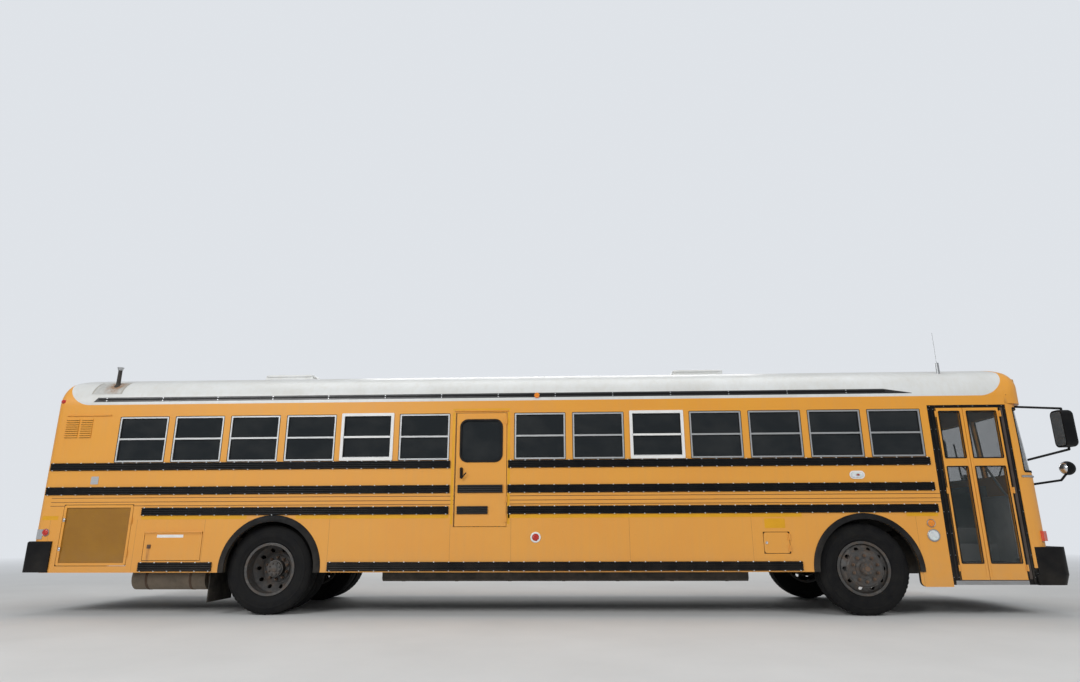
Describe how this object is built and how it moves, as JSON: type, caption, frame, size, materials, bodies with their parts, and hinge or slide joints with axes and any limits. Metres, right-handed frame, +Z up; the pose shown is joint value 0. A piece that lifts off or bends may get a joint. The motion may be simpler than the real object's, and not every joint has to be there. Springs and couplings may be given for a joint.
{
  "type": "school bus",
  "caption": "Flat-front, rear-engine school bus with a hollow seated body, steered front wheels, dual rear wheels, hinged doors, lids and hatches, and a folding stop arm.",
  "frame": {"origin": "on the ground under the middle of the box, midway between the rear bumper and the front mirrors", "axes": "+X forward, +Y to the left of the bus, +Z up"},
  "size_m": [12.575, 2.98, 3.3569],
  "materials": {
    "body_yellow": "sun-faded school-bus yellow enamel",
    "roof_white": "white enamel",
    "black_paint": "satin black enamel",
    "black_rubber": "weathered rubber",
    "glass_dark": "dark tinted safety glass",
    "glass_clear": "clear safety glass",
    "aluminium": "mill-finish aluminium",
    "chassis_black": "dusty black chassis paint",
    "wheel_steel": "rusty brown-grey wheel paint",
    "tyre": "dusty tyre rubber",
    "floor_rubber": "ribbed rubber floor covering",
    "vinyl_seat": "dark green coated fabric",
    "seat_steel": "grey powder coat",
    "dash_plastic": "grey textured plastic",
    "lens_amber": "amber lens",
    "lens_red": "red lens",
    "lens_clear": "clear lamp lens",
    "stop_red": "red reflective sheet",
    "tank_grey": "grey composite wrap",
    "muffler_tan": "heat-stained steel",
    "engine_iron": "dusty cast iron",
    "radiator_core": "dark finned core"
  },
  "bodies": {
    "bus_body": {"bumpers": "black_paint", "chassis_frame": "chassis_black", "cross_members": "chassis_black", "dashboard": "dash_plastic", "driver_seat": "vinyl_seat", "engine": "engine_iron", "entry_frame": "black_paint", "floor": "floor_rubber", "front_axle": "chassis_black", "front_cap": "body_yellow", "front_panel": "body_yellow", "gas_tanks": "tank_grey", "lamps_amber": "lens_amber", "lamps_clear": "lens_clear", "lamps_red": "lens_red", "mirrors": "black_paint", "muffler": "muffler_tan", "passenger_seats": "vinyl_seat", "radiator": "radiator_core", "raised_floor": "floor_rubber", "rear_axle": "chassis_black", "rear_wall": "body_yellow", "roof": "roof_white", "roof_fittings": "aluminium", "rub_rails": "black_paint", "rubber_trim": "black_rubber", "seat_frames": "seat_steel", "side_wall_left": "body_yellow", "side_wall_right": "body_yellow", "step_well": "floor_rubber", "window_frames": "aluminium", "window_glass": "glass_dark", "windshield": "glass_clear", "wipers": "black_paint"},
    "knuckle_right": {"knuckle_right": "chassis_black"},
    "knuckle_left": {"knuckle_left": "chassis_black"},
    "wheel_front_right": {"wheel_front_right": "wheel_steel", "tyre_front_right": "tyre"},
    "wheel_front_left": {"wheel_front_left": "wheel_steel", "tyre_front_left": "tyre"},
    "wheels_rear_right": {"wheels_rear_right": "wheel_steel", "tyres_rear_right": "tyre"},
    "wheels_rear_left": {"wheels_rear_left": "wheel_steel", "tyres_rear_left": "tyre"},
    "entry_leaf_rear": {"entry_leaf_rear": "body_yellow", "entry_glass_rear": "glass_clear"},
    "entry_leaf_front": {"entry_leaf_front": "body_yellow", "entry_glass_front": "glass_clear"},
    "emergency_door_right": {"emergency_door_right": "body_yellow", "emergency_glass_right": "glass_dark"},
    "emergency_door_left": {"emergency_door_left": "body_yellow", "emergency_glass_left": "glass_dark"},
    "screen_door_right": {"screen_door_right": "body_yellow"},
    "screen_door_left": {"screen_door_left": "body_yellow"},
    "battery_door": {"battery_door": "body_yellow"},
    "fuel_door": {"fuel_door": "body_yellow"},
    "engine_door": {"engine_door": "body_yellow"},
    "roof_hatch_rear": {"roof_hatch_rear": "roof_white"},
    "roof_hatch_front": {"roof_hatch_front": "roof_white"},
    "stop_arm": {"stop_arm": "stop_red"}
  },
  "joints": [
    {"name": "steer_right", "type": "hinge", "parent": "bus_body", "child": "knuckle_right", "pos_m": [3.6625, -0.85, 0.512], "axis": [0, 0, 1], "range_deg": [-42, 42]},
    {"name": "steer_left", "type": "hinge", "parent": "bus_body", "child": "knuckle_left", "pos_m": [3.6625, 0.85, 0.512], "axis": [0, 0, 1], "range_deg": [-42, 42]},
    {"name": "wheel_front_right_spin", "type": "hinge", "parent": "knuckle_right", "child": "wheel_front_right", "pos_m": [3.6625, -1.02, 0.512], "axis": [0, 1, 0], "continuous": true},
    {"name": "wheel_front_left_spin", "type": "hinge", "parent": "knuckle_left", "child": "wheel_front_left", "pos_m": [3.6625, 1.02, 0.512], "axis": [0, 1, 0], "continuous": true},
    {"name": "wheels_rear_right_spin", "type": "hinge", "parent": "bus_body", "child": "wheels_rear_right", "pos_m": [-3.3125, -0.845, 0.512], "axis": [0, 1, 0], "continuous": true},
    {"name": "wheels_rear_left_spin", "type": "hinge", "parent": "bus_body", "child": "wheels_rear_left", "pos_m": [-3.3125, 0.845, 0.512], "axis": [0, 1, 0], "continuous": true},
    {"name": "entry_rear_open", "type": "hinge", "parent": "bus_body", "child": "entry_leaf_rear", "pos_m": [4.6905, -1.2283, 1.36], "axis": [0, 0, -1], "range_deg": [0, 90]},
    {"name": "entry_front_open", "type": "hinge", "parent": "bus_body", "child": "entry_leaf_front", "pos_m": [5.4485, -1.2283, 1.36], "axis": [0, 0, 1], "range_deg": [0, 90]},
    {"name": "emergency_right_open", "type": "hinge", "parent": "bus_body", "child": "emergency_door_right", "pos_m": [-0.4735, -1.2283, 1.67], "axis": [0, 0, 1], "range_deg": [0, 100]},
    {"name": "emergency_left_open", "type": "hinge", "parent": "bus_body", "child": "emergency_door_left", "pos_m": [-0.4735, 1.2283, 1.67], "axis": [0, 0, -1], "range_deg": [0, 100]},
    {"name": "screen_right_open", "type": "hinge", "parent": "bus_body", "child": "screen_door_right", "pos_m": [-5.0255, -1.2283, 0.912], "axis": [0, 0, 1], "range_deg": [0, 100]},
    {"name": "screen_left_open", "type": "hinge", "parent": "bus_body", "child": "screen_door_left", "pos_m": [-5.0255, 1.2283, 0.912], "axis": [0, 0, -1], "range_deg": [0, 100]},
    {"name": "battery_door_open", "type": "hinge", "parent": "bus_body", "child": "battery_door", "pos_m": [-4.4825, -1.2283, 0.942], "axis": [-1, 0, 0], "range_deg": [0, 100]},
    {"name": "fuel_door_open", "type": "hinge", "parent": "bus_body", "child": "fuel_door", "pos_m": [2.8235, -1.2283, 0.802], "axis": [0, 0, 1], "range_deg": [0, 100]},
    {"name": "engine_door_open", "type": "hinge", "parent": "bus_body", "child": "engine_door", "pos_m": [-6.2418, 0, 1.497], "axis": [0, 1, 0], "range_deg": [0, 80]},
    {"name": "roof_hatch_rear_open", "type": "hinge", "parent": "bus_body", "child": "roof_hatch_rear", "pos_m": [-3.2825, 0, 3.0353], "axis": [0, 1, 0], "range_deg": [0, 85]},
    {"name": "roof_hatch_front_open", "type": "hinge", "parent": "bus_body", "child": "roof_hatch_front", "pos_m": [2.4095, 0, 3.0353], "axis": [0, 1, 0], "range_deg": [0, 85]},
    {"name": "stop_arm_out", "type": "hinge", "parent": "bus_body", "child": "stop_arm", "pos_m": [4.2475, 1.2363, 1.582], "axis": [0, 0, -1], "range_deg": [0, 90]}
  ],
  "couplings": [
    {"joint": "steer_left", "follows": "steer_right", "ratio": 1},
    {"joint": "entry_front_open", "follows": "entry_rear_open", "ratio": 1}
  ]
}
